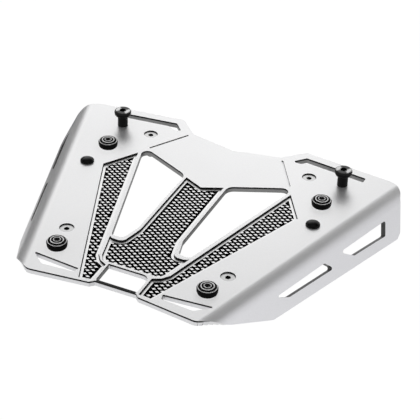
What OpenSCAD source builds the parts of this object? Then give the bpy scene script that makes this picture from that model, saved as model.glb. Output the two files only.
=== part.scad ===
// Folded aluminium mounting plate for a motorbike top case.
// The deck lies flat, and both side flanges are bent down and splay outwards.
// X runs across the plate, +Y points to the end with the two studs, +Z is up.
// The origin is the middle of the footprint, level with the lowest edge.
// All sizes are in millimetres.

/* [Deck] */
// Thickness of the sheet
plate_thickness = 4.5; // [4:0.1:5.5]
// Width over both flanges
plate_width = 302.4; // [298:0.2:306]
// Length over both ends
plate_length = 238.8; // [236:0.2:241]
// How far the middle panel stays behind the wings at the stud end
far_notch = 16.8; // [15:0.2:18]
// Depth of the shallow V in the stud end of the middle panel
far_dip = 8.4; // [6:0.2:10]
// Half width of the middle panel at the stud end
middle_half_width = 39; // [37:0.5:41]
// Inner corner of a wing at the stud end, from the centre line
wing_corner_x = 55.5; // [53:0.5:58]
// How far the inner corner of a wing stays behind its outer end at the latch
near_slant = 5.2; // [4:0.1:6]
// How far the latch end stays behind the wings beside it
near_notch = 3.1; // [2:0.1:3.6]
// Inner corner of a wing at the latch end, from the centre line
near_corner_x = 19.7; // [19:0.1:21]

/* [Folds and flanges] */
// Angle of each fold line from the centre line, in degrees
fold_angle = 16.7; // [16:0.1:17.4]
// How far the flange is bent down, in degrees
bend_angle = 62; // [58:1:68]
// Inside radius of the bend
bend_radius = 9.8; // [8:0.2:11]
// Flange depth at the stud end
flange_far_depth = 31.9; // [30:0.1:34]
// Flange depth at the latch end
flange_near_depth = 26.1; // [25:0.1:28]
// Radius of the outer corner at the stud end
far_corner_radius = 20; // [18:0.5:24]
// Radius of the outer corner at the latch end
near_corner_radius = 9; // [6:0.5:12]

/* [Windows and slots] */
// Inner edge of a window from the centre line
window_inner_x = 18.6; // [18.2:0.1:20]
// Outer far corner of a window from the centre line
window_outer_x = 66.9; // [65:0.1:67]
// Outer far corner of a window along the plate
window_far_y = 66.2; // [64:0.2:67]
// Latch end of a window
window_near_y = -55.4; // [-56:0.1:-53]
// Width of the slot beside each stud
far_slot_width = 6.4; // [5:0.1:7]
// Half width of the latch opening
latch_half_width = 16.6; // [15:0.1:16.8]
// Stud side of the latch opening
latch_far_y = -88.7; // [-90:0.1:-88.5]
// Width of the bar that the latch hooks
latch_bar = 1.8; // [1.6:0.1:3]
// Upper edge of the flange slots, below the fold line
flange_slot_top = 12.6; // [12:0.1:14]

/* [Tread inserts] */
// Half width of the middle tread recess
middle_tread_half_width = 16.2; // [15:0.1:16.6]
// Depth of the tread recesses
recess_depth = 2.7; // [2:0.1:3]
// Thickness of a tread insert
insert_thickness = 1.2; // [1:0.05:1.5]
// Gap between an insert and the recess wall
insert_gap = 0.25; // [0.1:0.05:0.5]
// Plain rim round the diamonds
insert_rim = 2.4; // [2:0.1:3]
// Depth of the grooves between the diamonds
tread_depth = 0.7; // [0.4:0.05:0.8]
// Pitch of the diamonds across the plate
diamond_pitch_x = 7; // [6.4:0.1:8]
// Pitch of the diamonds along the plate
diamond_pitch_y = 4.2; // [3.8:0.1:5]
// Width of the grooves between the diamonds
tread_groove = 1.35; // [0.8:0.05:1.6]

/* [Fittings] */
// Studs from the centre line
stud_x = 97.9; // [96:0.1:99]
// Studs along the plate
stud_y = 88.4; // [86:0.1:90]
// Diameter of a stud head
stud_head_diameter = 14; // [12.5:0.1:15]
// Height of a stud above the deck
stud_height = 14.4; // [13:0.1:17]
// Diameter of the stud neck
stud_neck_diameter = 8.4; // [7:0.1:9]
// Thread diameter of a stud
stud_thread = 5; // [4.6:0.1:5.4]
// Far pads from the centre line
far_pad_x = 93.4; // [92:0.1:95]
// Far pads along the plate
far_pad_y = 53.8; // [52:0.1:56]
// Near pads from the centre line
near_pad_x = 61; // [60:0.1:62]
// Near pads along the plate
near_pad_y = -87; // [-87.5:0.1:-86]
// Diameter of a rubber pad
pad_diameter = 15.6; // [15:0.1:17]
// Height of a rubber pad
pad_height = 6.6; // [5:0.1:7]
// Plugs from the centre line
plug_x = 97.4; // [96:0.1:98]
// Plugs along the plate
plug_y = 25.6; // [24:0.1:27]
// Diameter of a plug
plug_diameter = 11.2; // [10.5:0.1:12]
// Far screws from the centre line
far_screw_x = 70.6; // [69:0.1:72]
// Far screws along the plate
far_screw_y = 86.2; // [84:0.1:88]
// Near screws from the centre line
near_screw_x = 66.4; // [65:0.1:68]
// Near screws along the plate
near_screw_y = -63; // [-65:0.1:-61]
// Thread diameter of a screw
screw_thread = 6; // [5:0.1:6]
// Length of a screw
screw_length = 20; // [16:1:22]

/* [Hidden] */
$fn = 64;
eps = 0.01;
reach = 300;
corner_steps = 7;

// Corners of both ends, along the plate
wing_corner_y = plate_length / 2;
middle_corner_y = wing_corner_y - far_notch;
far_middle_y = middle_corner_y - far_dip;
near_corner_y = near_slant - plate_length / 2;
near_middle_y = near_corner_y + near_notch;

// Height of the deck above the lowest flange edge
deck_top = flange_far_depth * sin(bend_angle) + plate_thickness * cos(bend_angle);
outer_bend_radius = bend_radius + plate_thickness;
bend_run = outer_bend_radius * tan(bend_angle / 2);
bend_arc = outer_bend_radius * bend_angle * PI / 180;

// Corners of the flange, as distance along the fold
flange_far_low = 89.8;
flange_far_chamfer = 84.4;
flange_near_low = -66.4;
flange_corner_radius = 9;
// Depth lost where the far end of the flange slopes in
flange_far_step = 3.4;

// Where the fold line crosses the middle of the plate
fold_x = plate_width / 2 - flange_far_depth * cos(bend_angle) * cos(fold_angle)
    - flange_far_chamfer * sin(fold_angle);

// The edge is cut square to the sheet, in this many steps over the bend
bend_cuts = 5;
// What keeps two steps of the cut from meeting in almost the same line
cut_shift = 0.06;

// Clearances and fits
hole_clearance = 0.4;
head_clearance = 0.1;
screw_sink = 0.9;
stem_clearance = 0.3;

// Fastener proportions
screw_head_diameter = 11.2;
screw_head_rim = 0.3;
screw_relief = 0.3;
screw_relief_end = 0.7;
screw_socket = 4;
stud_socket = 5;
nut_across_flats = 8;
nut_height = 5;
washer_diameter = 10;
washer_thickness = 1;
thread_clearance = 0.1;
pad_stem = 5.6;
pad_barb = 8.6;
plug_stem = 7.2;
plug_barb = 9.2;

// Groove that marks the edge of the middle panel
panel_groove_width = 1.6;
panel_groove_depth = 0.8;
panel_groove_far = [42.5, middle_corner_y - 4.2];
panel_groove_near = [61.4, 67];

sides = [-1, 1];

// Outline helpers. A corner is [x, y, radius].
function unit(v) = v / norm(v);
function spot(p) = [p[0], p[1]];
function corner_arc(a, b, c) = b[2] == 0 ? [spot(b)] :
    let (to_a = unit(spot(a) - spot(b)), to_c = unit(spot(c) - spot(b)),
        half = acos(to_a * to_c) / 2,
        centre = spot(b) + unit(to_a + to_c) * b[2] / sin(half),
        from_a = spot(b) + to_a * b[2] / tan(half) - centre,
        from_c = spot(b) + to_c * b[2] / tan(half) - centre,
        start = atan2(from_a[1], from_a[0]),
        turn = (atan2(from_c[1], from_c[0]) - start + 540) % 360 - 180)
    [for (i = [0 : corner_steps]) let (angle = start + turn * i / corner_steps)
        centre + b[2] * [cos(angle), sin(angle)]];
function rounded(points) = let (n = len(points))
    [for (i = [0 : n - 1]) each corner_arc(points[(i + n - 1) % n], points[i], points[(i + 1) % n])];

// The same outline drawn in by a distance; its corners run counter-clockwise
function inward(a, b) = let (along = unit(spot(b) - spot(a))) [-along[1], along[0]];
function drawn_in(points, distance) = let (n = len(points))
    [for (i = [0 : n - 1])
        let (before = inward(points[(i + n - 1) % n], points[i]),
            after = inward(points[i], points[(i + 1) % n]),
            corner = spot(points[i]) + distance * (before + after) / (1 + before * after),
            convex = before[0] * after[1] - before[1] * after[0] > 0,
            radius = points[i][2])
        [corner[0], corner[1], radius == 0 ? 0 : max(0, radius + (convex ? -distance : distance))]];

// Whether a point lies inside an outline
function crosses(a, b, p) = (a[1] > p[1]) != (b[1] > p[1])
    && p[0] < a[0] + (b[0] - a[0]) * (p[1] - a[1]) / (b[1] - a[1]);
function inside(p, points) = let (n = len(points))
    len([for (i = [0 : n - 1]) if (crosses(points[i], points[(i + 1) % n], p)) i]) % 2 == 1;

// Frame with its x axis square to the fold and its y axis along it
module fold_frame() {
    translate([fold_x, 0, deck_top])
        rotate([0, 0, -fold_angle])
            children();
}

// Both mirror images of a shape
module both_sides() {
    for (side = sides)
        mirror([side < 0 ? 1 : 0, 0, 0])
            children();
}

// Frame with its origin on the axis that the bend turns about
module bend_frame() {
    fold_frame()
        translate([-bend_run, 0, -outer_bend_radius])
            children();
}

// Deck, bend and flange seen along the fold, from the axis of the bend
module fold_section() {
    flange_reach = 60;
    translate([-reach, bend_radius])
        square([reach, plate_thickness]);
    intersection() {
        difference() {
            circle(r = outer_bend_radius);
            circle(r = bend_radius);
        }
        square(reach);
        rotate(-bend_angle)
            translate([-reach, 0])
                square(reach);
    }
    rotate(-bend_angle)
        translate([0, bend_radius])
            square([flange_reach, plate_thickness]);
}

// Flat pattern point, as distance past the start of the bend and along the fold
function flat(x, y) = [
    (x - fold_x) * cos(fold_angle) - y * sin(fold_angle) + bend_run,
    (x - fold_x) * sin(fold_angle) + y * cos(fold_angle)];
function flat_corner(x, y, radius) = [flat(x, y)[0], flat(x, y)[1], radius];
function past_bend(depth) = depth + bend_arc - bend_run;

// Right half of the sheet before it is folded, with a little more at the centre line
flat_pattern = rounded([
    flat_corner(-1, far_middle_y - (middle_corner_y - far_middle_y) / middle_half_width, 0),
    flat_corner(middle_half_width, middle_corner_y, 0),
    flat_corner(wing_corner_x, wing_corner_y, 1.5),
    [2.2, wing_corner_y - 6.8, far_corner_radius],
    [11.8, wing_corner_y - 17.3, 10],
    [past_bend(flange_far_depth) - flange_far_step, flange_far_low, 4],
    [past_bend(flange_far_depth), flange_far_chamfer, 2],
    [past_bend(flange_near_depth), flange_near_low, flange_corner_radius],
    [16, 11.9 - plate_length / 2, 20],
    [0.2, -8.5 - plate_length / 2, near_corner_radius],
    flat_corner(near_corner_x, near_corner_y, 0),
    flat_corner(latch_half_width, near_middle_y, 0),
    flat_corner(-1, near_middle_y, 0)]);

// Long slot of the flange towards the stud end
module flange_far_slot() {
    polygon(rounded([
        [flange_slot_top, 77.8, 1.5],
        [flange_slot_top + 11, 72.2, 2],
        [flange_slot_top + 9.1, 32.8, 2],
        [flange_slot_top, 18.9, 1.5]]));
}

// Short slot of the flange towards the latch end
module flange_near_slot() {
    polygon(rounded([
        [flange_slot_top, 0, 2],
        [flange_slot_top + 8, 8.2, 1.5],
        [flange_slot_top + 6, -44.6, 5],
        [flange_slot_top, -57.9, 1]]));
}

// Point far out from the axis of the bend, where the bend has turned by an angle
function ray(angle) = reach * [sin(angle), cos(angle)];

// Flat pattern pushed square through the sheet at an angle of the bend, kept to one region
module square_cut(angle, region, shift = 0) {
    past = outer_bend_radius * angle * PI / 180;
    intersection() {
        rotate([90, 0, 0])
            linear_extrude(height = 2 * reach, center = true)
                polygon(region);
        rotate([0, angle, 0])
            translate([-past, shift, bend_radius - 1])
                linear_extrude(height = plate_thickness + 2)
                    polygon(flat_pattern);
    }
}

// One half of the folded sheet
module folded_half() {
    first = 2;
    step = (bend_angle - 2 * first) / bend_cuts;
    intersection() {
        translate([0, -reach, -reach])
            cube(2 * reach);
        bend_frame()
            difference() {
                intersection() {
                    rotate([90, 0, 0])
                        linear_extrude(height = 2 * reach, center = true)
                            fold_section();
                    union() {
                        square_cut(0, [[0, 0], ray(first), [-reach, reach], [-reach, 0]]);
                        for (i = [0 : bend_cuts - 1])
                            square_cut(first + (i + 0.5) * step,
                                [[0, 0], ray(first + (i + 1) * step), ray(first + i * step)],
                                i % 2 == 0 ? cut_shift : 0);
                        square_cut(bend_angle, [[0, 0], [0, -reach], [reach, -reach], ray(bend_angle - first)]);
                    }
                }
                rotate([0, bend_angle, 0])
                    translate([-bend_run, 0, 0])
                        linear_extrude(height = reach) {
                            flange_far_slot();
                            flange_near_slot();
                        }
            }
    }
}

// Right window
module window() {
    far_slope = 0.468;
    outer_slope = 0.282;
    inner_far_y = window_far_y - far_slope * (window_outer_x - window_inner_x);
    outer_near_x = window_outer_x - outer_slope * (window_far_y - window_near_y);
    polygon(rounded([
        [window_outer_x, window_far_y, 5],
        [window_inner_x, inner_far_y, 8],
        [window_inner_x, window_near_y + 17, 10],
        [window_inner_x + 4.5, window_near_y, 4],
        [outer_near_x, window_near_y, 2.5]]));
}

// Slot that turns down beside the middle panel, right side
module far_slot() {
    translate([0, wing_corner_y])
        polygon(rounded([
            [51, -16.2, 0.8],
            [58.8, -7.6, 1],
            [111.6, -14, 0.8],
            [111.6, -13.8 - far_slot_width, 0.8],
            [63.2, -8.4 - far_slot_width, 1],
            [56.8, -18, 1],
            [52.8, -18, 0.8]]));
}

// Thin slot at the latch end of a wing, right side
module near_slot() {
    translate([0, near_corner_y])
        polygon(rounded([
            [33.8, 10.8, 0.6],
            [73, 14.2, 0.8],
            [60.8, 3.7, 2],
            [35.2, 5.6, 0.8]]));
}

// Opening for the latch, with one rounded corner
module latch_opening() {
    near_y = near_middle_y + latch_bar;
    polygon(rounded([
        [-latch_half_width - 0.5, latch_far_y, 0.8],
        [latch_half_width, latch_far_y, 6],
        [latch_half_width, near_y, 0.8],
        [-latch_half_width, near_y, 0.8]]));
}

// Corners of the middle tread recess, counter-clockwise, with a choice of corners at its two tips
function middle_outline(tip) = let (right = concat(
        [[22.8, -87.2, 1.5], [26.6, -81.2, 4], [28.8, -72.4, 0]],
        tip,
        [[20.8, -59.3, 5], [middle_tread_half_width, -39.6, 20], [middle_tread_half_width, 40.9, 0]]))
    concat(right, [[0, 33, 0]], [for (i = [len(right) - 1 : -1 : 0]) [-right[i][0], right[i][1], right[i][2]]]);
middle_recess = middle_outline([[32.8, -57.2, 0], [30, -59.3, 4]]);
// Where the tips are cut off, because they are too narrow for diamonds
middle_field = middle_outline([[32.2, -59.3, 0]]);

// Corners of the right tread recess, counter-clockwise
side_recess = [
    [18.6, near_corner_y + 3, 0],
    [29, near_corner_y + 1.6, 0],
    [84.1, 28, 0],
    [66.9, 56, 0],
    [31.5, -72.4, 0],
    [29.2, -81.2, 4],
    [24.8, -87.2, 4],
    [18.6, -90.4, 0]];

// Round-ended groove between two points of the deck
module panel_groove() {
    along = panel_groove_near - panel_groove_far;
    turn = atan2(along[1], along[0]);
    radius = panel_groove_width / 2;
    steps = 8;
    translate([0, 0, deck_top - panel_groove_depth])
        linear_extrude(height = panel_groove_depth + 1)
            polygon([for (end = [0, 1]) for (i = [0 : steps])
                let (angle = turn + 90 + 180 * end + 180 * i / steps)
                    panel_groove_far + end * along + radius * [cos(angle), sin(angle)]]);
}

// Countersunk hole, with its rim a little above the screw head
module screw_hole() {
    cone_top = -screw_sink - screw_head_rim;
    rim = screw_head_diameter + 2 * head_clearance;
    bore = screw_thread + hole_clearance;
    translate([0, 0, deck_top]) {
        translate([0, 0, -plate_thickness - 1])
            cylinder(d = bore, h = plate_thickness + 2);
        translate([0, 0, cone_top - (rim - bore) / 2])
            cylinder(d1 = bore, d2 = rim, h = (rim - bore) / 2);
        translate([0, 0, cone_top - eps])
            cylinder(d = rim, h = 2);
    }
}

// Plain round hole through the deck
module deck_hole(diameter) {
    translate([0, 0, deck_top - plate_thickness - 1])
        cylinder(d = diameter, h = plate_thickness + 2);
}

module at(x, y) {
    translate([x, y, 0])
        children();
}

module plate() {
    color("silver")
        difference() {
            both_sides()
                folded_half();
            translate([0, 0, deck_top - plate_thickness - 1])
                linear_extrude(height = plate_thickness + 2) {
                    latch_opening();
                    for (side = sides)
                        mirror([side < 0 ? 1 : 0, 0]) {
                            window();
                            far_slot();
                            near_slot();
                        }
                }
            translate([0, 0, deck_top - recess_depth])
                linear_extrude(height = recess_depth + 1) {
                    polygon(rounded(middle_recess));
                    for (side = sides)
                        mirror([side < 0 ? 1 : 0, 0])
                            polygon(rounded(side_recess));
                }
            both_sides() {
                panel_groove();
                at(far_screw_x, far_screw_y)
                    screw_hole();
                at(near_screw_x, near_screw_y)
                    screw_hole();
                at(stud_x, stud_y)
                    deck_hole(stud_thread + hole_clearance);
                at(far_pad_x, far_pad_y)
                    deck_hole(pad_stem + 2 * stem_clearance);
                at(near_pad_x, near_pad_y)
                    deck_hole(pad_stem + 2 * stem_clearance);
                at(plug_x, plug_y)
                    deck_hole(plug_stem + 2 * stem_clearance);
            }
        }
}

// Diamonds of one tread field, on a staggered grid that all three inserts share
module diamonds(field) {
    half_x = diamond_pitch_x / 2;
    half_y = diamond_pitch_y / 2;
    flank = half_x * half_y / norm([half_x, half_y]);
    shrink = (flank - tread_groove / 2) / flank;
    xs = [for (p = field) p[0]];
    ys = [for (p = field) p[1]];
    for (column = [floor(min(xs) / half_x) : ceil(max(xs) / half_x)])
        for (row = [floor(min(ys) / diamond_pitch_y) : ceil(max(ys) / diamond_pitch_y)]) {
            centre = [column * half_x, (row + (abs(column) % 2) / 2) * diamond_pitch_y];
            if (inside(centre, field))
                translate(centre)
                    polygon(shrink * [[half_x, 0], [0, half_y], [-half_x, 0], [0, -half_y]]);
        }
}

// Insert that fills a recess and carries the diamonds
module tread_insert(recess, patterned) {
    field = drawn_in(patterned, insert_gap + insert_rim);
    translate([0, 0, deck_top - recess_depth])
        difference() {
            linear_extrude(height = insert_thickness)
                polygon(rounded(drawn_in(recess, insert_gap)));
            translate([0, 0, insert_thickness - tread_depth])
                linear_extrude(height = tread_depth + 1)
                    difference() {
                        polygon(rounded(field));
                        diamonds(field);
                    }
        }
}

module tread_centre() {
    color("silver")
        tread_insert(middle_recess, middle_field);
}

module tread_left() {
    color("silver")
        mirror([1, 0, 0])
            tread_insert(side_recess, side_recess);
}

module tread_right() {
    color("silver")
        tread_insert(side_recess, side_recess);
}

// Rubber pad with three thin rings and a dimple on top, and a push-in stem
module pad() {
    radius = pad_diameter / 2;
    top = pad_height;
    groove = top - 0.6;
    under = -plate_thickness;
    rings = [0.37, 0.65, 0.86];
    half_ring = 0.045;
    color("black")
        translate([0, 0, deck_top])
            rotate_extrude()
                polygon(concat(
                    [[0, top - 1.5], [radius * 0.13, top - 1.5], [radius * 0.17, groove]],
                    [for (ring = rings) each [
                        [radius * (ring - half_ring - 0.02), groove], [radius * (ring - half_ring), top],
                        [radius * (ring + half_ring), top], [radius * (ring + half_ring + 0.02), groove]]],
                    [for (angle = [90 : -18 : 0])
                        [radius - 0.6 + 0.6 * cos(angle), groove - 0.6 + 0.6 * sin(angle)]],
                    [[radius, 0.3], [radius - 0.3, 0],
                        [pad_stem / 2, 0], [pad_stem / 2, under], [pad_barb / 2, under],
                        [pad_barb / 2, under - 0.8], [pad_stem / 2 - 0.6, under - 3.6], [0, under - 3.6]]));
}

module pad_far_left() {
    at(-far_pad_x, far_pad_y)
        pad();
}

module pad_far_right() {
    at(far_pad_x, far_pad_y)
        pad();
}

module pad_near_left() {
    at(-near_pad_x, near_pad_y)
        pad();
}

module pad_near_right() {
    at(near_pad_x, near_pad_y)
        pad();
}

// Mushroom stud that the case slides under, with its thread through the deck
module stud() {
    radius = stud_head_diameter / 2;
    neck = stud_neck_diameter / 2;
    top = stud_height;
    rim = top - 1.3;
    bowl = radius - neck;
    bowl_height = 3.6;
    thread_end = plate_thickness + washer_thickness + nut_height + 1.6;
    color("black")
        translate([0, 0, deck_top])
            difference() {
                rotate_extrude()
                    polygon(concat(
                        [[0, top], [radius - 1.4, top], [radius - 0.5, top - 0.4], [radius, rim]],
                        [for (angle = [0 : 15 : 90])
                            [neck + bowl * cos(angle), rim - 0.6 - bowl_height * sin(angle)]],
                        [[neck, 0], [stud_thread / 2, 0], [stud_thread / 2, 0.5 - thread_end],
                            [stud_thread / 2 - 0.5, -thread_end], [0, -thread_end]]));
                translate([0, 0, top - 2.8])
                    cylinder(d = stud_socket / cos(30), h = 3.8, $fn = 6);
            }
}

module stud_left() {
    at(-stud_x, stud_y)
        stud();
}

module stud_right() {
    at(stud_x, stud_y)
        stud();
}

module washer() {
    color("silver")
        translate([0, 0, deck_top - plate_thickness - washer_thickness])
            difference() {
                cylinder(d = washer_diameter, h = washer_thickness);
                translate([0, 0, -1])
                    cylinder(d = stud_thread + hole_clearance, h = washer_thickness + 2);
            }
}

module washer_left() {
    at(-stud_x, stud_y)
        washer();
}

module washer_right() {
    at(stud_x, stud_y)
        washer();
}

// Hexagon lock nut with a collar below, chamfered at its corners
module lock_nut() {
    corner = nut_across_flats / cos(30) / 2;
    flat = nut_across_flats / 2;
    hex_height = nut_height - 1.2;
    color("silver")
        translate([0, 0, deck_top - plate_thickness - washer_thickness - nut_height])
            difference() {
                union() {
                    translate([0, 0, 1.2])
                        intersection() {
                            cylinder(r = corner, h = hex_height, $fn = 6);
                            rotate_extrude()
                                polygon([[0, 0], [flat - 0.1, 0], [corner, 0.5], [corner, hex_height - 0.4],
                                    [flat + 0.1, hex_height], [0, hex_height]]);
                        }
                    cylinder(r = flat - 0.5, h = 2);
                }
                translate([0, 0, -1])
                    cylinder(d = stud_thread + 2 * thread_clearance, h = nut_height + 2);
            }
}

module lock_nut_left() {
    at(-stud_x, stud_y)
        lock_nut();
}

module lock_nut_right() {
    at(stud_x, stud_y)
        lock_nut();
}

// Domed plug that closes a spare hole
module plug() {
    radius = plug_diameter / 2;
    rim = 0.8;
    dome_height = 2;
    under = -plate_thickness;
    color("black")
        translate([0, 0, deck_top])
            rotate_extrude()
                polygon(concat(
                    [[0, under - 3], [plug_stem / 2 - 0.9, under - 3], [plug_barb / 2, under - 0.7],
                        [plug_barb / 2, under], [plug_stem / 2, under], [plug_stem / 2, 0], [radius, 0]],
                    [for (angle = [0 : 11.25 : 90])
                        [radius * cos(angle), rim + dome_height * sin(angle)]]));
}

module plug_left() {
    at(-plug_x, plug_y)
        plug();
}

module plug_right() {
    at(plug_x, plug_y)
        plug();
}

// Countersunk screw with a hexagon socket; its thread starts below the deck
module screw() {
    radius = screw_head_diameter / 2;
    thread = screw_thread / 2;
    neck = thread - screw_relief;
    cone_end = -screw_head_rim - radius + neck;
    thread_top = screw_sink - plate_thickness - screw_relief_end;
    color("silver")
        translate([0, 0, deck_top - screw_sink])
            difference() {
                rotate_extrude()
                    polygon([
                        [0, 0], [radius - 0.3, 0], [radius, -screw_head_rim], [neck, cone_end],
                        [neck, thread_top], [thread, thread_top - screw_relief],
                        [thread, 0.6 - screw_length], [thread - 0.6, -screw_length], [0, -screw_length]]);
                translate([0, 0, -2.2])
                    cylinder(d = screw_socket / cos(30), h = 3.2, $fn = 6);
            }
}

module screw_far_left() {
    at(-far_screw_x, far_screw_y)
        screw();
}

module screw_far_right() {
    at(far_screw_x, far_screw_y)
        screw();
}

module screw_near_left() {
    at(-near_screw_x, near_screw_y)
        screw();
}

module screw_near_right() {
    at(near_screw_x, near_screw_y)
        screw();
}

plate();
tread_centre();
tread_left();
tread_right();
pad_far_left();
pad_far_right();
pad_near_left();
pad_near_right();
stud_left();
stud_right();
washer_left();
washer_right();
lock_nut_left();
lock_nut_right();
plug_left();
plug_right();
screw_far_left();
screw_far_right();
screw_near_left();
screw_near_right();
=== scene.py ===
# %% [markdown]
# # A folded aluminium mounting plate
#
# The real thing is one sheet of aluminium. It is cut flat, milled where the
# tread goes, and folded down along its two long sides. Three tread inserts lie
# in the milled pockets, and small black and steel fittings are pushed or
# screwed into its holes. The solid model already holds these shapes, so this
# script adds what a camera sees: broken edges, finishes, light and a floor.

# %% Load the solid model
import math

import bpy
from mathutils import Matrix, Vector


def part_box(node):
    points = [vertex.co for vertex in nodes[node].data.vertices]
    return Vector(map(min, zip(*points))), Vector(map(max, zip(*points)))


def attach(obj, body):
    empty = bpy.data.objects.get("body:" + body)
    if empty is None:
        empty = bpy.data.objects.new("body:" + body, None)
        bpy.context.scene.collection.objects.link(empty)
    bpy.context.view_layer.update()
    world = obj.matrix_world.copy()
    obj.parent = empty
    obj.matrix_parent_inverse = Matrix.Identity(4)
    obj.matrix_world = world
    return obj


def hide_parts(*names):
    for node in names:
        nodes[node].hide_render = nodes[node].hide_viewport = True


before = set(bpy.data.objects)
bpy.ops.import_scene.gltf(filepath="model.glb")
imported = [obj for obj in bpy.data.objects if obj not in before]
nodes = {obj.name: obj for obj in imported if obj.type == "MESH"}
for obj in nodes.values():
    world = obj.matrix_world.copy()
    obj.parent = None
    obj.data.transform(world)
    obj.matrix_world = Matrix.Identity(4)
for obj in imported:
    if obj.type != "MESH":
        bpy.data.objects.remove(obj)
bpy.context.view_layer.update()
MM = 0.001
SHEET_THICKNESS = 4.5 * MM
POCKET_DEPTH = 2.7 * MM
deck_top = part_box("tread_centre")[0][2] + POCKET_DEPTH
print("pieces in the solid model:", len(nodes), "deck height in mm:", round(deck_top / MM, 2))

# %% [markdown]
# ## Shader maths as plain expressions
#
# A material is a graph of nodes. Written out link by link it is hard to read,
# so a small class wraps a socket and lets `a * b + c` add the Math nodes. Any
# other node comes from one function, `add`, which takes its settings first and
# then the values or links of its sockets.

# %% A socket that understands arithmetic
class Value:
    """One output socket of a material's node tree."""

    def __init__(self, tree, socket):
        self.tree = tree
        self.socket = socket

    def maths(self, operation, *others, flip=False):
        """A Math node on this value and others; flip puts this value last."""
        terms = (*others, self) if flip else (self, *others)
        node = self.tree.nodes.new("ShaderNodeMath")
        node.operation = operation
        for entry, term in zip(node.inputs, terms):
            connect(self.tree, entry, term)
        return Value(self.tree, node.outputs[0])

    def __add__(self, other):
        return self.maths("ADD", other)

    def __radd__(self, other):
        return self.maths("ADD", other, flip=True)

    def __sub__(self, other):
        return self.maths("SUBTRACT", other)

    def __rsub__(self, other):
        return self.maths("SUBTRACT", other, flip=True)

    def __mul__(self, other):
        return self.maths("MULTIPLY", other)

    def __rmul__(self, other):
        return self.maths("MULTIPLY", other, flip=True)

    def __neg__(self):
        return self.maths("MULTIPLY", -1.0)

    def size(self):
        return self.maths("ABSOLUTE")

    def least(self, other):
        return self.maths("MINIMUM", other)

    def most(self, other):
        return self.maths("MAXIMUM", other)

    def ramp(self, start, end, low=0.0, high=1.0):
        """low up to start, high from end on, and a smooth passage; start may be the larger."""
        return add(self.tree, "ShaderNodeMapRange", {"interpolation_type": "SMOOTHSTEP"},
                   {"Value": self, "From Min": start, "From Max": end,
                    "To Min": low, "To Max": high})

    def between(self, rise, fall):
        """1 between two places; each is a pair of where the ramp is 0 and where it is 1."""
        return self.ramp(*rise) * self.ramp(*fall)


def connect(tree, entry, term):
    """Links a Value to a socket, or sets a plain number or colour there."""
    if isinstance(term, Value):
        tree.links.new(term.socket, entry)
    else:
        entry.default_value = term


def add(tree, kind, settings=None, inputs=None, output=0):
    """A new node of a kind, set up and connected; returns one of its outputs."""
    node = tree.nodes.new(kind)
    for name, setting in (settings or {}).items():
        setattr(node, name, setting)
    for name, term in (inputs or {}).items():
        connect(tree, node.inputs[name], term)
    return Value(tree, node.outputs[output])


print("a Value can:", ", ".join(name for name in vars(Value) if not name.startswith("__")))

# %% [markdown]
# ## Colours, places and patterns
#
# Three things drive every finish here: where a point lies on its piece, which
# way the surface looks there, and a fine noise. Object coordinates give the
# place in metres, so a pattern keeps its real size on every piece.

# %% Helpers that the finishes share
def grey(level, blue=0.0):
    """A neutral colour, with a little blue where it is asked for."""
    return (level, level, level * (1.0 + blue), 1.0)


def mix(tree, factor, first, second):
    """Blends two colours, each a Value or an RGBA tuple."""
    return add(tree, "ShaderNodeMix", {"data_type": "RGBA"},
               {0: factor, 6: first, 7: second}, output=2)


def axes(tree, vector):
    """The x, y and z of a vector."""
    parts = tree.nodes.new("ShaderNodeSeparateXYZ")
    connect(tree, parts.inputs[0], vector)
    return [Value(tree, parts.outputs[i]) for i in range(3)]


def point_on(tree):
    """The point of the surface, in metres of the piece's own frame."""
    return add(tree, "ShaderNodeTexCoord", output="Object")


def facing(tree):
    """How far the surface looks along x, y and z, from -1 to 1."""
    return axes(tree, add(tree, "ShaderNodeNewGeometry", output="Normal"))


def noise(tree, point, scale, detail=3.0):
    """An even random pattern from 0 to 1; a larger scale is finer."""
    return add(tree, "ShaderNodeTexNoise", None,
               {"Vector": point, "Scale": scale, "Detail": detail})


def raise_grain(tree, shader, pattern, strength, height):
    """Lets a pattern stand up from the surface, as a bump of a height in metres."""
    bump = add(tree, "ShaderNodeBump", None,
               {"Height": pattern, "Strength": strength, "Distance": height})
    connect(tree, shader.inputs["Normal"], bump)


def new_finish(name):
    """An empty material with its main shader: returns material, tree and shader."""
    material = bpy.data.materials.new(name)
    material.use_nodes = True
    tree = material.node_tree
    return material, tree, tree.nodes["Principled BSDF"]


def middle(piece):
    """x and y of the middle of a solid, in metres."""
    low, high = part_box(piece)
    return (low[0] + high[0]) / 2, (low[1] + high[1]) / 2


print("middle of the right stud in mm:", [round(v / MM, 2) for v in middle("stud_right")])

# %% [markdown]
# ## The camera
#
# The camera stands to the right of the latch end, looks down by about 34
# degrees, and is turned a little about its own axis. Its place and turn are
# three vectors, found by fitting known points of the plate to the picture.

# %% Camera
camera_place = Vector((382.5005, -831.0863, 658.1667)) * MM
camera_right = Vector((0.90804935, 0.41756666, 0.0329311))
camera_up = Vector((-0.26133872, 0.50335943, 0.82360874))
camera_back = camera_right.cross(camera_up)
turn = Matrix((camera_right, camera_up, camera_back)).transposed()
camera = bpy.data.objects.new("camera", bpy.data.cameras.new("camera"))
bpy.context.scene.collection.objects.link(camera)
camera.matrix_world = Matrix.Translation(camera_place) @ turn.to_4x4()
camera.data.sensor_width = 36.0
camera.data.lens = 123.678
camera.data.clip_start = 0.01
camera.data.clip_end = 20.0
bpy.context.scene.camera = camera
print("camera place in mm:", [round(v / MM) for v in camera_place])

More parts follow.
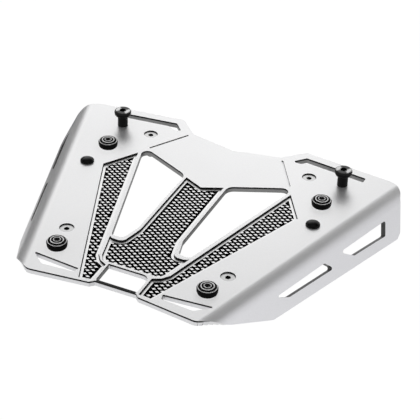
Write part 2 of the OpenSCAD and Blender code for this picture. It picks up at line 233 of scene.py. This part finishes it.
# %% [markdown]
# ## Satin aluminium for the sheet
#
# The sheet is blasted and anodised, so it is bright, even and a little rough,
# and its faces look almost white. Its cut edges don't: they get painted shade.
# A wall that faces the viewer is painted pale in the near half of the plate and
# dark grey in the far half, a wall that faces sideways is painted darker still,
# and both get a painted black line of shade along their top. A wall that looks
# away stays pale. Four more places get a painted dark shade: the floors of the
# pockets, the top of the latch bar, the seats of the screws and the walls of the
# slots in the flanges. Faces that look to the right get a painted bluer tint of light.
#
# These painted shades could be painted on an unwrapped sheet. Here each one is a mask
# worked out from the place of a point and the way the surface looks there,
# because such masks need no unwrapping and follow the real sizes.

# %% Where the sheet gets a painted shade
# A pair is where a mask is 0 and where it is 1, and a depth is below the top of the deck.
IN_DECK = (SHEET_THICKNESS + 0.2 * MM, SHEET_THICKNESS - 0.2 * MM)
EDGE_LINE_DEPTH = (1.6 * MM, 1.3 * MM)
POCKET_FLOOR_DEPTH = (1.6 * MM, 2.2 * MM)
FAR_HALF_Y = (-10 * MM, 20 * MM)
LATCH_BAR_X = (16.4 * MM, 15.4 * MM)
LATCH_BAR_Y = (-108.9 * MM, -109.4 * MM)
LATCH_BAR_DEPTH = (0.5 * MM, 0.2 * MM)
SCREW_SEATS = (middle("screw_far_right"), middle("screw_near_right"))
SCREW_SEAT_RADIUS = (6.1 * MM, 5.9 * MM)
SLOTS_Y = ((-66 * MM, -64 * MM), (79 * MM, 77 * MM))
SLOTS_Z = ((6.0 * MM, 7.0 * MM), (20.5 * MM, 19.5 * MM))
FOLD, SPLAY = math.radians(62), math.radians(16.7)
FLANGE_LOOKS = (math.sin(FOLD) * math.cos(SPLAY), -math.sin(FOLD) * math.sin(SPLAY), math.cos(FOLD))
print("the right flange looks along", [round(v, 3) for v in FLANGE_LOOKS])
print("screw seats in mm:", [[round(v / MM, 2) for v in seat] for seat in SCREW_SEATS])

# %% Painted shades of the sheet, and its plain and bluer faces
PALE_FACE, BLUER_FACE = grey(0.82, 0.005), grey(0.82, 0.03)
PALE_WALL, FAR_WALL, SIDE_WALL, SLOT_WALL = grey(0.80, 0.02), grey(0.27), grey(0.10), grey(0.09)
POCKET_FLOOR, SCREW_SEAT, BLACK = grey(0.02), grey(0.01), grey(0.004)


def wall_shade(tree, y, look_y, depth):
    """The painted shade of a wall that goes through the deck, with a painted black line of shade along
    its top.
    """
    to_viewer = (-look_y).ramp(0.1, 0.9)
    away = look_y.ramp(0.3, 0.6)
    lit_wall = mix(tree, y.ramp(*FAR_HALF_Y) * (1.0 - away), PALE_WALL, FAR_WALL)
    wall = mix(tree, to_viewer.most(away), SIDE_WALL, lit_wall)
    return mix(tree, depth.ramp(*EDGE_LINE_DEPTH) * (1.0 - away), wall, BLACK)


def screw_seat(x, y, look_z, seat):
    """1 on the cone under a screw head, on both sides of the plate, which gets a painted dark shade."""
    outer, inner = SCREW_SEAT_RADIUS
    dx, dy = x.size() - seat[0], y - seat[1]
    return (dx * dx + dy * dy).ramp(outer ** 2, inner ** 2) * look_z.ramp(0.95, 0.85)


def slot_wall(x, y, z, look):
    """1 on the walls of the flange slots, which stand at right angles to the flange's face and get a
    painted dark shade.
    """
    side = x.ramp(-1 * MM, 1 * MM, -1.0, 1.0)
    along_x, along_y, along_z = FLANGE_LOOKS
    lean = along_x * look[0] * side + along_y * look[1] + along_z * look[2]
    return lean.size().ramp(0.5, 0.3) * z.between(*SLOTS_Z) * y.between(*SLOTS_Y)


def sheet_shade(tree, point):
    """The colour of the whole sheet with its painted shades, before its grain."""
    x, y, z = axes(tree, point)
    look = facing(tree)
    depth = deck_top - z
    in_deck = depth.ramp(*IN_DECK)
    upright = look[2].size().ramp(0.40, 0.20)
    # Faces that look to the right are painted a little bluer, as a tint of light.
    face = mix(tree, look[0].ramp(0.4, 0.8), PALE_FACE, BLUER_FACE)
    # Walls through the deck take a painted shade by the way they face, with a painted black line of
    # shade along their top.
    shade = mix(tree, upright * in_deck, face, wall_shade(tree, y, look[1], depth))
    # The floors of the pockets are painted near black, as shade.
    pocket = depth.ramp(*POCKET_FLOOR_DEPTH) * look[2].ramp(0.96, 0.99) * in_deck
    shade = mix(tree, pocket, shade, POCKET_FLOOR)
    # The top of the latch bar is painted black, as shade.
    latch_bar = (x.size().ramp(*LATCH_BAR_X) * y.ramp(*LATCH_BAR_Y)
                 * look[2].ramp(0.7, 0.95) * depth.ramp(*LATCH_BAR_DEPTH))
    shade = mix(tree, latch_bar, shade, BLACK)
    # The screw seats are painted near black, as shade.
    for seat in SCREW_SEATS:
        shade = mix(tree, screw_seat(x, y, look[2], seat), shade, SCREW_SEAT)
    # The walls of the flange slots are painted dark, as shade.
    return mix(tree, slot_wall(x, y, z, look), shade, SLOT_WALL)


# %% Finish of the sheet
def sheet_finish():
    material, tree, shader = new_finish("satin_aluminium")
    point = point_on(tree)
    fine = noise(tree, point, 900.0)
    cloudy = noise(tree, point, 14.0, detail=2.0)
    level = 0.93 + 0.03 * cloudy + 0.08 * fine
    colour = add(tree, "ShaderNodeVectorMath", {"operation": "SCALE"},
                 {0: sheet_shade(tree, point), "Scale": level})
    connect(tree, shader.inputs["Base Color"], colour)
    shader.inputs["Metallic"].default_value = 0.75
    connect(tree, shader.inputs["Roughness"], 0.36 + 0.06 * cloudy + 0.05 * fine)
    raise_grain(tree, shader, fine, strength=0.04, height=0.2 * MM)
    return material


satin = sheet_finish()
print("nodes in the sheet's finish:", len(satin.node_tree.nodes))

# %% [markdown]
# ## A plain finish with a grain
#
# The walls of the milled pockets get a painted black shade, and most small pieces
# have one colour too. A single even colour looks like paper, so the finish mixes
# two close ones by a fine noise, which also moves the roughness and the bump.

# %% One colour with a grain
def plain_finish(name, level, metallic, roughness, mirror, grain, grain_scale):
    """One grey: mirror is the strength of its reflections, grain that of its bump."""
    material, tree, shader = new_finish(name)
    pattern = noise(tree, point_on(tree), grain_scale)
    colour = mix(tree, pattern, grey(level * 0.85), grey(level * 1.15))
    connect(tree, shader.inputs["Base Color"], colour)
    shader.inputs["Metallic"].default_value = metallic
    shader.inputs["Specular IOR Level"].default_value = mirror
    connect(tree, shader.inputs["Roughness"], roughness - 0.06 + 0.12 * pattern)
    raise_grain(tree, shader, pattern, strength=grain, height=0.3 * MM)
    return material


# Painted black shade for the walls of the pockets.
pocket_wall_shade = plain_finish("pocket_wall_shade", level=0.004, metallic=0.3, roughness=0.45,
                            mirror=0.2, grain=0.05, grain_scale=2000.0)
print("plain finish made:", pocket_wall_shade.name)

# %% [markdown]
# ## The sheet with broken edges
#
# A laser-cut sheet is tumbled before it is anodised, so every edge is slightly
# rounded and catches a thin line of light. The solid model has sharp edges. A
# copy of its mesh is merged, because its triangles are loose, and a narrow
# bevel follows every edge sharper than 35 degrees.
#
# The walls of the pockets are painted black from top to foot, as shade. They get
# a material of their own, because they are faces that can be picked by their
# direction and by the depth of their foot.

# %% A merged copy, and its bevel
SHARP_EDGE = math.radians(35)


def own_copy(node_name, new_name):
    """A merged copy of a solid's mesh, as an object of its own."""
    bpy.ops.object.select_all(action="DESELECT")
    source = nodes[node_name]
    copy = source.copy()
    copy.data = source.data.copy()
    copy.name = new_name
    copy.parent = None
    bpy.context.scene.collection.objects.link(copy)
    copy.select_set(True)
    bpy.context.view_layer.objects.active = copy
    bpy.ops.object.mode_set(mode="EDIT")
    bpy.ops.mesh.select_all(action="SELECT")
    bpy.ops.mesh.remove_doubles(threshold=0.002 * MM)
    bpy.ops.mesh.dissolve_limited(angle_limit=math.radians(0.5))
    bpy.ops.object.mode_set(mode="OBJECT")
    return copy


def break_edges(piece, width, segments, smooth_degrees, clamp):
    """A narrow bevel along every sharp edge, and smooth shading elsewhere."""
    bevel = piece.modifiers.new("broken_edges", "BEVEL")
    bevel.width = width
    bevel.segments = segments
    bevel.use_clamp_overlap = clamp
    bevel.limit_method = "ANGLE"
    bevel.angle_limit = SHARP_EDGE
    weighted = piece.modifiers.new("flat_faces_stay_flat", "WEIGHTED_NORMAL")
    weighted.keep_sharp = True
    bpy.ops.object.select_all(action="DESELECT")
    piece.select_set(True)
    bpy.context.view_layer.objects.active = piece
    bpy.ops.object.modifier_apply(modifier=bevel.name)
    bpy.ops.object.shade_smooth_by_angle(angle=math.radians(smooth_degrees))
    bpy.ops.object.modifier_apply(modifier=weighted.name)


sheet = own_copy("plate", "folded_sheet")
break_edges(sheet, 0.3 * MM, segments=2, smooth_degrees=50, clamp=True)
print("faces of the bevelled sheet:", len(sheet.data.polygons))

# %% Materials of the sheet
POCKET_FOOT_FROM, POCKET_FOOT_TO = POCKET_DEPTH - 0.7 * MM, POCKET_DEPTH + 0.5 * MM
PLAIN, IN_POCKET = 0, 1

sheet.data.materials.clear()
sheet.data.materials.append(satin)
sheet.data.materials.append(pocket_wall_shade)
pocket_wall_faces = 0
for face in sheet.data.polygons:
    foot = max(deck_top - sheet.data.vertices[i].co.z for i in face.vertices)
    upright = abs(face.normal.z) < 0.4
    is_pocket_wall = upright and POCKET_FOOT_FROM < foot < POCKET_FOOT_TO
    face.material_index = IN_POCKET if is_pocket_wall else PLAIN
    pocket_wall_faces += is_pocket_wall
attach(sheet, "root")
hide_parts("plate")
print("pocket wall faces:", pocket_wall_faces)

# %% [markdown]
# ## Diamond tread
#
# The inserts are bright on their diamonds and black in the grooves. One
# material does both: it is bright where the surface is high and looks straight
# up, and every face that tilts away from up gets a painted shade, so the
# chamfers that the diamonds get later stay dark.

# %% Finish of the tread
GROOVE_FLOOR = deck_top - POCKET_DEPTH + 0.5 * MM
DIAMOND_TOPS = (GROOVE_FLOOR + 0.45 * MM, GROOVE_FLOOR + 0.65 * MM)


def tread_finish():
    material, tree, shader = new_finish("diamond_tread")
    z = axes(tree, point_on(tree))[2]
    # Bright only on high tops that look straight up; faces that tilt get a painted shade.
    bright = z.ramp(*DIAMOND_TOPS).least(facing(tree)[2].ramp(0.78, 0.96))
    connect(tree, shader.inputs["Base Color"], mix(tree, bright, grey(0.005), grey(0.78)))
    shader.inputs["Metallic"].default_value = 1.0
    connect(tree, shader.inputs["Roughness"], 0.9 - 0.5 * bright)
    return material


tread = tread_finish()
print("diamonds are bright above, in mm:", round(DIAMOND_TOPS[0] / MM, 2))

# %% [markdown]
# ## Black coated steel for the studs
#
# The studs are black, but the rounded crown of each head mirrors two lamps, one
# at either side. A real reflection would need those lamps, which would also
# change the sheet, so the crown's colour brightens on the two sides instead.

# %% Finish of the studs
STUD_X, STUD_Y = middle("stud_right")
STUD_CROWN = (deck_top + 14.05 * MM, deck_top + 14.2 * MM)


def coated_finish():
    material, tree, shader = new_finish("black_coated_steel")
    point = point_on(tree)
    x, y, z = axes(tree, point)
    grain = noise(tree, point, 1500.0)
    crown = z.ramp(*STUD_CROWN) * facing(tree)[2].ramp(0.3, 0.8)
    dx, dy = x.size() - STUD_X, y - STUD_Y
    sides = (dx * dx - dy * dy).ramp(-5 * MM * MM, 12 * MM * MM)
    lit = crown * (0.15 + 0.85 * sides)
    connect(tree, shader.inputs["Base Color"], mix(tree, lit, grey(0.003), grey(0.38)))
    shader.inputs["Specular IOR Level"].default_value = 0.12
    connect(tree, shader.inputs["Metallic"], lit)
    connect(tree, shader.inputs["Roughness"], 0.2 + 0.1 * grain)
    raise_grain(tree, shader, grain, strength=0.15, height=0.3 * MM)
    return material


coated = coated_finish()
print("nodes in the studs' finish:", len(coated.node_tree.nodes))

# %% [markdown]
# ## Steel screws
#
# The heads are bright steel, and their hexagon sockets are painted black as
# shade, because no light comes back out of them. The depth below the deck tells
# the socket from the head, and the thread below is darker.

# %% Finish of the screws
SCREW_HEAD = (deck_top - 3.4 * MM, deck_top - 3.2 * MM)
SCREW_SOCKET = (deck_top - 1.1 * MM, deck_top - 1.3 * MM)


def screw_finish():
    material, tree, shader = new_finish("steel_screw")
    z = axes(tree, point_on(tree))[2]
    in_head = z.ramp(*SCREW_HEAD)
    in_socket = z.ramp(*SCREW_SOCKET) * in_head
    upward = facing(tree)[2].ramp(0.5, 0.9)
    # Sockets and head faces that don't look up are painted black, as shade.
    deep = in_socket.most(1.0 - upward) * in_head
    bright = mix(tree, in_head, grey(0.25), grey(0.50))
    connect(tree, shader.inputs["Base Color"], mix(tree, deep, bright, BLACK))
    connect(tree, shader.inputs["Metallic"], 1.0 - deep)
    shader.inputs["Specular IOR Level"].default_value = 0.1
    shader.inputs["Roughness"].default_value = 0.35
    return material


screw_steel = screw_finish()
print("nodes in the screws' finish:", len(screw_steel.node_tree.nodes))

# %% [markdown]
# ## Rubber, plastic and plain steel
#
# The pads are black rubber whose thin rings get a painted highlight of bright
# metal, the plugs are black plastic, and the washers and nuts are plain steel.
# Each kind of piece takes its finish by the first word of its name.

# %% Finishes of the small pieces
rubber = plain_finish("black_rubber", level=0.002, metallic=0.0, roughness=0.50,
                      mirror=0.06, grain=0.15, grain_scale=1500.0)
# A bright metal finish on the rings of the pads, as a painted highlight.
ring_highlight_finish = plain_finish("painted_ring_highlights", level=0.70, metallic=0.9, roughness=0.3,
                          mirror=0.5, grain=0.05, grain_scale=1500.0)
plastic = plain_finish("black_plastic", level=0.002, metallic=0.0, roughness=0.22,
                       mirror=0.12, grain=0.1, grain_scale=1000.0)
steel = plain_finish("plain_steel", level=0.55, metallic=0.9, roughness=0.3,
                     mirror=0.5, grain=0.05, grain_scale=2000.0)

finishes = {"tread": tread, "pad": rubber, "stud": coated, "plug": plastic,
            "screw": screw_steel, "washer": steel, "lock": steel}
for name, node in nodes.items():
    kind = name.split("_")[0]
    if kind in finishes:
        for entry in node.material_slots:
            entry.material = finishes[kind]
print("finishes given out:", ", ".join(finishes))

# %% [markdown]
# ## Chamfers on the tread
#
# Each diamond gets a small flat chamfer. The chamfers look away from straight
# up, so the painted shade of the finish above keeps them dark and the bright tops come out smaller.
# The bevel's clamp is off here, because one short edge anywhere in the mesh
# would make every chamfer vanish.

# %% Chamfered inserts
inserts = []
for side in ("centre", "left", "right"):
    insert = own_copy("tread_" + side, side + "_insert")
    break_edges(insert, 0.20 * MM, segments=1, smooth_degrees=20, clamp=False)
    insert.data.materials.clear()
    insert.data.materials.append(tread)
    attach(insert, "root")
    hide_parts("tread_" + side)
    inserts.append(insert)
print("faces of the chamfered inserts:", [len(insert.data.polygons) for insert in inserts])

# %% [markdown]
# ## Turned rubber pads
#
# A pad is a body of revolution, so it is made the way a lathe would: a circle
# is extruded ring by ring up a profile of radius and height. Its foot is
# narrower than its waist, its top edge is round, its face rises a little to
# the middle, and three thin rings stand up from it. The stem goes
# through the sheet, with a barb below.

# %% Turning a profile
def turned(name, centre, profile, sides=72):
    """A closed solid of revolution; profile lists radius and height above the deck, in mm."""
    bpy.ops.object.select_all(action="DESELECT")
    radius, height = profile[0]
    start = (centre[0], centre[1], deck_top + height * MM)
    bpy.ops.mesh.primitive_circle_add(vertices=sides, radius=radius * MM, fill_type="NGON",
                                      location=start)
    piece = bpy.context.active_object
    piece.name = name
    bpy.ops.object.transform_apply(location=True)
    bpy.ops.object.mode_set(mode="EDIT")
    bpy.ops.mesh.select_all(action="SELECT")
    for next_radius, next_height in profile[1:]:
        rise = (0.0, 0.0, (next_height - height) * MM)
        bpy.ops.mesh.extrude_region_move(TRANSFORM_OT_translate={"value": rise})
        bpy.ops.transform.resize(value=(next_radius / radius, next_radius / radius, 1.0))
        radius, height = next_radius, next_height
    bpy.ops.mesh.select_all(action="SELECT")
    bpy.ops.mesh.normals_make_consistent(inside=False)
    bpy.ops.object.mode_set(mode="OBJECT")
    bpy.ops.object.shade_smooth_by_angle(angle=math.radians(40))
    return piece


def arc(centre_radius, centre_height, size, start, end, steps):
    """Points of a rounded corner, with angles from straight out."""
    turns = [math.radians(start + (end - start) * i / steps) for i in range(steps + 1)]
    return [(centre_radius + size * math.cos(t), centre_height + size * math.sin(t)) for t in turns]


print("points of a quarter round in 3 steps:", len(arc(0.0, 0.0, 1.0, 0, 90, 3)))

# %% Profile of a pad, in mm
# Each ring has a radius, a height above the deck and half a width.
PAD_RINGS = ((7.05, 5.35, 0.20), (4.75, 6.0, 0.38), (2.6, 6.3, 0.24))


def pad_profile():
    """From the tip of the barb below the sheet up to the dimple in the middle of the face."""
    underside, stem, barb = -SHEET_THICKNESS / MM, 2.8, 4.3
    tip = (stem - 0.6, underside - 3.6)
    points = [tip, (barb, underside - 0.8), (barb, underside), (stem, underside), (stem, 0.0)]
    points += [(7.0, 0.0), (7.3, 0.3), (7.65, 1.3), (7.8, 2.2)]
    points += arc(6.5, 3.9, 1.4, -15, 65, 8)
    for radius, height, half_width in PAD_RINGS:
        points += [(radius + half_width + 0.06, height - 0.12)]
        points += arc(radius, height - 0.05, half_width, 15, 165, 6)
        points += [(radius - half_width - 0.06, height - 0.10)]
    return points + [(1.4, 6.25), (1.1, 5.4), (0.6, 5.3)]


print("points of a pad's profile:", len(pad_profile()))

# %% [markdown]
# ## Four pads in place
#
# The top of each ring gets a painted highlight of bright metal, so its faces are
# picked by their distance from the pad's middle. The pads throw a shadow, but the
# real sheet shows no image of them, so they are hidden from mirror rays.

# %% Pads
FACE_FROM = deck_top + 5.0 * MM


def on_ring(distance):
    """Whether a face at a distance from a pad's middle lies on one of its rings."""
    return any(abs(distance - radius * MM) < half_width * MM for radius, _, half_width in PAD_RINGS)


highlighted_ring_faces = 0
for where in ("far_left", "far_right", "near_left", "near_right"):
    centre = middle("pad_" + where)
    pad = turned("turned_pad_" + where, centre, pad_profile())
    pad.data.materials.append(rubber)
    pad.data.materials.append(ring_highlight_finish)
    for face in pad.data.polygons:
        if face.normal.z > 0.2 and face.center.z > FACE_FROM:
            # Ring tops get the painted highlight finish.
            face.material_index = int(on_ring(math.dist(face.center[:2], centre)))
            highlighted_ring_faces += face.material_index
    pad.visible_glossy = False
    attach(pad, "root")
    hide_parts("pad_" + where)
print("polished faces on the pads:", highlighted_ring_faces)

# %% [markdown]
# ## The floor
#
# The plate is seen on plain white. The floor is white to the camera and to the
# metal, and it still takes a soft shadow. Polished metal shows what stands
# around it, so a part of the floor on the left is a dark card to mirror rays
# alone, as a photographer would lay one down. From below the floor is clear, so
# that the underside can be looked at.

# %% Floor
CARD_X = ((-700 * MM, -500 * MM), (-110 * MM, -160 * MM))
FLOOR_SIZE, FLOOR_HEIGHT = 12.0, -0.5 * MM


def rays(tree, kind):
    """1 for the rays of a kind: Camera, Glossy or Transmission."""
    return add(tree, "ShaderNodeLightPath", output="Is " + kind + " Ray")


def floor_finish():
    material, tree, shader = new_finish("pale_floor")
    card = axes(tree, point_on(tree))[0].between(*CARD_X)
    polished = rays(tree, "Glossy")
    connect(tree, shader.inputs["Base Color"], mix(tree, polished * card, grey(0.8), grey(0.08)))
    shader.inputs["Roughness"].default_value = 0.9
    white = add(tree, "ShaderNodeEmission", None, {"Color": grey(1.0), "Strength": 1.07})
    seen = rays(tree, "Camera").most(rays(tree, "Transmission"))
    seen = seen.most(polished * (1.0 - 0.95 * card))
    top = add(tree, "ShaderNodeMixShader", None,
              {0: 0.92 * seen, 1: Value(tree, shader.outputs[0]), 2: white})
    from_below = add(tree, "ShaderNodeNewGeometry", output="Backfacing")
    clear = add(tree, "ShaderNodeBsdfTransparent")
    both = add(tree, "ShaderNodeMixShader", None, {0: from_below, 1: top, 2: clear})
    connect(tree, tree.nodes["Material Output"].inputs["Surface"], both)
    return material


bpy.ops.object.select_all(action="DESELECT")
bpy.ops.mesh.primitive_plane_add(size=FLOOR_SIZE, location=(0.0, 0.0, FLOOR_HEIGHT))
ground = bpy.context.active_object
ground.name = "ground"
ground.data.materials.append(floor_finish())
print("side of the floor in metres:", round(ground.dimensions.x, 2))

# %% [markdown]
# ## Sky and lamp
#
# The camera sees a white world. Dull surfaces get an even light from it, with
# a little more from behind, and one soft lamp stands at the far end. Metal
# shows what it mirrors, so its greys are set in the sky that only mirror rays
# see: a gradient by height, and round panels that add light or take it away.

# %% World
# Each panel is a direction, the half angles in degrees to which it is full and reaches, and a strength.
BACK_PANEL = ((-0.33, 0.76, 0.57), 25, 60, 0.2)
MIRRORED_PANELS = (
    ((-0.86, 0.50, 0.05), 12, 32, -1.40),
    ((-0.42, 0.72, 0.55), 4, 22, 0.98),
    ((-0.14, 0.83, 0.54), 4, 18, -0.62),
    ((0.70, 0.71, 0.05), 5, 36, -0.90),
    ((0.41, 0.52, 0.75), 5, 25, -0.10))


def panel(tree, direction, centre, full, reach, strength):
    """A soft round panel of light around a direction of the sky."""
    along = add(tree, "ShaderNodeVectorMath", {"operation": "DOT_PRODUCT"},
                {0: direction, 1: Vector(centre).normalized()}, output=1)
    return along.ramp(math.cos(math.radians(reach)), math.cos(math.radians(full)), 0.0, strength)


def sky():
    world = bpy.data.worlds.new("studio")
    world.use_nodes = True
    tree = world.node_tree
    direction = add(tree, "ShaderNodeTexCoord", output="Generated")
    height = axes(tree, direction)[2]
    even = 0.40 + panel(tree, direction, *BACK_PANEL)
    mirrored = height.ramp(0.48, 0.68, 1.40, 0.10) + height.ramp(0.80, 0.95, 0.0, 0.50)
    for place in MIRRORED_PANELS:
        mirrored = mirrored + panel(tree, direction, *place)
    level = even + rays(tree, "Glossy") * (mirrored - even)
    background = tree.nodes["Background"]
    connect(tree, background.inputs["Strength"], level + rays(tree, "Camera") * (1.0 - level))
    background.inputs["Color"].default_value = grey(1.0)
    return world


bpy.context.scene.world = sky()
print("panels in the mirrored sky:", len(MIRRORED_PANELS))

# %% Lamp
def lamp(name, place_mm, aim_mm, size_mm, watts):
    """A square soft lamp that looks at a point."""
    data = bpy.data.lights.new(name, "AREA")
    data.size = size_mm * MM
    data.energy = watts
    lamp_object = bpy.data.objects.new(name, data)
    bpy.context.scene.collection.objects.link(lamp_object)
    lamp_object.location = Vector(place_mm) * MM
    away = Vector(place_mm) - Vector(aim_mm)
    lamp_object.rotation_euler = away.to_track_quat("Z", "Y").to_euler()
    return lamp_object


soft_box = lamp("far_soft_box", place_mm=(-60, 640, 420), aim_mm=(90, 60, 30), size_mm=400, watts=0.25)
bpy.context.scene.view_settings.view_transform = "Standard"
print("lamp:", soft_box.name, "of", soft_box.data.energy, "W")

# %% [markdown]
# ## Sizes
#
# The bevels take a little off the edges, and the turned pads, which are 0.1 mm
# wider in radius at their waist, stand well inside the outline. So the box
# around all that is seen should agree with the box of the solid model.
